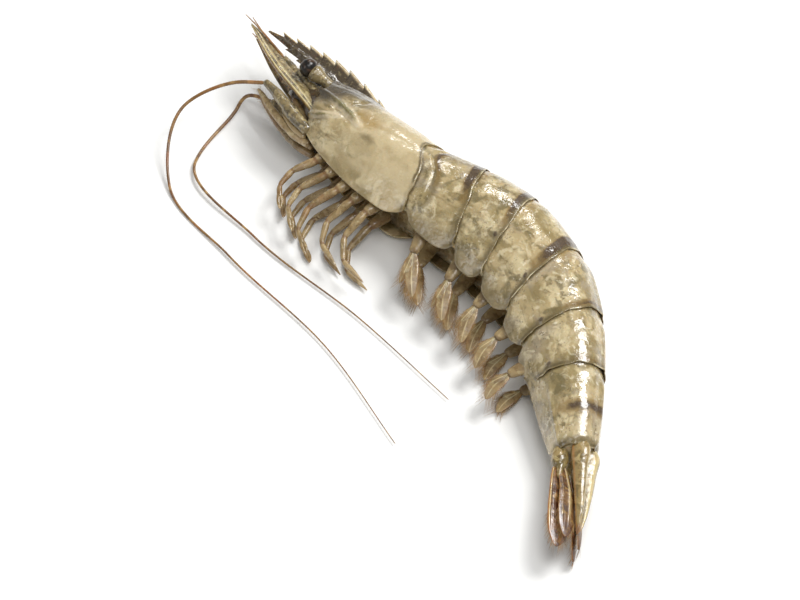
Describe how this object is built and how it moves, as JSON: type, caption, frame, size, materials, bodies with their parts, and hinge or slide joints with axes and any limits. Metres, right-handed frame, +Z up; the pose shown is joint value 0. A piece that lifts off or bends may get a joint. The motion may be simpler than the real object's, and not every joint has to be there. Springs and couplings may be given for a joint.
{
  "type": "raw tiger prawn",
  "caption": "Raw whole prawn in its shell, head on, lying on its side with the body bent and the tail fan folded, legs and long feelers along the belly.",
  "frame": {"origin": "middle of the underside of the whole, on the floor the prawn lies on", "axes": "+Z up through the left flank, +X from the head towards the tail, +Y towards the back"},
  "size_m": [0.2048, 0.087, 0.0267],
  "materials": {
    "shell": "wet translucent shell, cream and olive with brown bands",
    "tail_fan": "wet translucent orange-brown blade",
    "horn": "dry horny feeler, orange-brown",
    "limb": "wet straw-coloured leg skin",
    "eye_black": "glossy black"
  },
  "bodies": {
    "root": {"abdomen_plate_1": "shell", "abdomen_plate_2": "shell", "abdomen_plate_3": "shell", "abdomen_plate_4": "shell", "abdomen_plate_5": "shell", "abdomen_plate_6": "shell", "antenna_base_left": "shell", "antenna_base_right": "shell", "antennal_scale_left": "shell", "antennal_scale_right": "shell", "antennule_base_left": "shell", "antennule_base_right": "shell", "antennule_whip_1_left": "horn", "antennule_whip_1_right": "horn", "antennule_whip_2_left": "horn", "antennule_whip_2_right": "horn", "carapace": "shell", "eye_left": "eye_black", "eye_right": "eye_black", "eye_stalk_left": "shell", "eye_stalk_right": "shell", "feeler_left": "horn", "feeler_right": "horn", "inner_tail_blade_left": "tail_fan", "inner_tail_blade_right": "tail_fan", "jaw_leg_left": "limb", "jaw_leg_right": "limb", "outer_tail_blade_left": "tail_fan", "outer_tail_blade_right": "tail_fan", "swimming_leg_1_left": "limb", "swimming_leg_1_right": "limb", "swimming_leg_2_left": "limb", "swimming_leg_2_right": "limb", "swimming_leg_3_left": "limb", "swimming_leg_3_right": "limb", "swimming_leg_4_left": "limb", "swimming_leg_4_right": "limb", "swimming_leg_5_left": "limb", "swimming_leg_5_right": "limb", "tail_knob_left": "shell", "tail_knob_right": "shell", "telson": "shell", "walking_leg_1_left": "limb", "walking_leg_1_right": "limb", "walking_leg_2_left": "limb", "walking_leg_2_right": "limb", "walking_leg_3_left": "limb", "walking_leg_3_right": "limb", "walking_leg_4_left": "limb", "walking_leg_4_right": "limb", "walking_leg_5_left": "limb", "walking_leg_5_right": "limb"}
  },
  "joints": []
}
